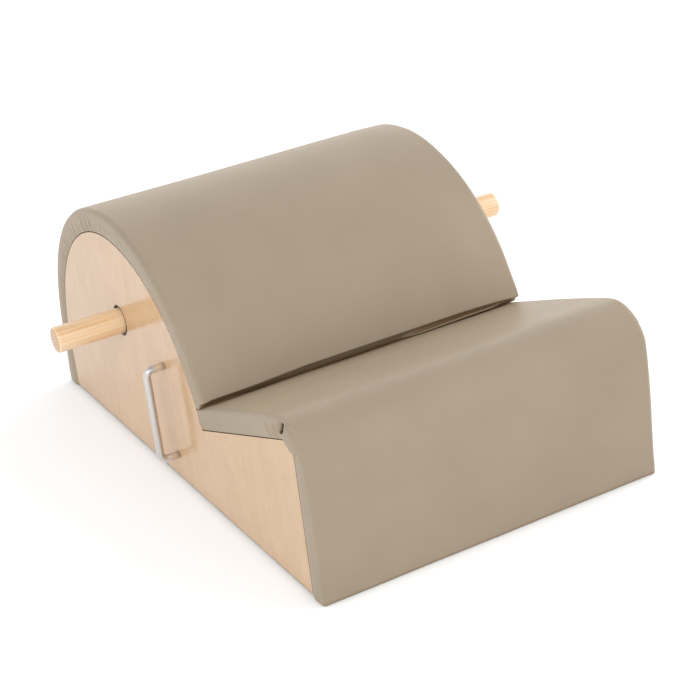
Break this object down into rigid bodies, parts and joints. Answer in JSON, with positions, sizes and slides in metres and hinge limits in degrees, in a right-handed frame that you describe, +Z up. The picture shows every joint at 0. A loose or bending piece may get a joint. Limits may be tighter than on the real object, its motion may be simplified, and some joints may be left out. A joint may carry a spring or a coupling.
{
  "type": "pilates spine corrector",
  "caption": "Half-round padded barrel with a low padded step on plywood side panels, a wooden hand dowel that slides through both panels, and bent carry handles.",
  "frame": {"origin": "on the floor, under the middle of the two side panels, on the underside of the centre grip strip", "axes": "+X forward from the barrel to the step, +Y to the left along the hand dowel, +Z up"},
  "size_m": [0.7974, 0.692, 0.3335],
  "materials": {
    "panel_ply": "satin",
    "deck_ply": "matte",
    "rail_wood": "matte",
    "dowel_wood": "satin",
    "vinyl": "satin",
    "foam": "matte",
    "handle_steel": "satin",
    "fasteners": "satin",
    "grip_rubber": "matte"
  },
  "bodies": {
    "body": {"right_side_panel": "panel_ply", "left_side_panel": "panel_ply", "rear_rail": "rail_wood", "top_rail": "rail_wood", "barrel_front_rail": "rail_wood", "step_rear_rail": "rail_wood", "crest_rail": "rail_wood", "front_rail": "rail_wood", "centre_rail": "rail_wood", "barrel_deck": "deck_ply", "barrel_foam": "foam", "barrel_cover": "vinyl", "step_deck": "deck_ply", "step_foam": "foam", "step_cover": "vinyl", "rear_rail_screw_right": "fasteners", "rear_rail_screw_left": "fasteners", "top_rail_screw_right": "fasteners", "top_rail_screw_left": "fasteners", "barrel_front_rail_screw_right": "fasteners", "barrel_front_rail_screw_left": "fasteners", "step_rear_rail_screw_right": "fasteners", "step_rear_rail_screw_left": "fasteners", "crest_rail_screw_right": "fasteners", "crest_rail_screw_left": "fasteners", "front_rail_screw_right": "fasteners", "front_rail_screw_left": "fasteners", "right_carry_handle": "handle_steel", "right_handle_washer_lower": "fasteners", "right_handle_screw_lower": "fasteners", "right_handle_washer_upper": "fasteners", "right_handle_screw_upper": "fasteners", "left_carry_handle": "handle_steel", "left_handle_washer_lower": "fasteners", "left_handle_screw_lower": "fasteners", "left_handle_washer_upper": "fasteners", "left_handle_screw_upper": "fasteners", "right_grip_strip": "grip_rubber", "left_grip_strip": "grip_rubber", "centre_grip_strip": "grip_rubber"},
    "dowel": {"hand_dowel": "dowel_wood"}
  },
  "joints": [
    {"name": "dowel_slide", "type": "slide", "parent": "body", "child": "dowel", "axis": [0, 1, 0], "range_m": [-0.62, 0.58]}
  ]
}
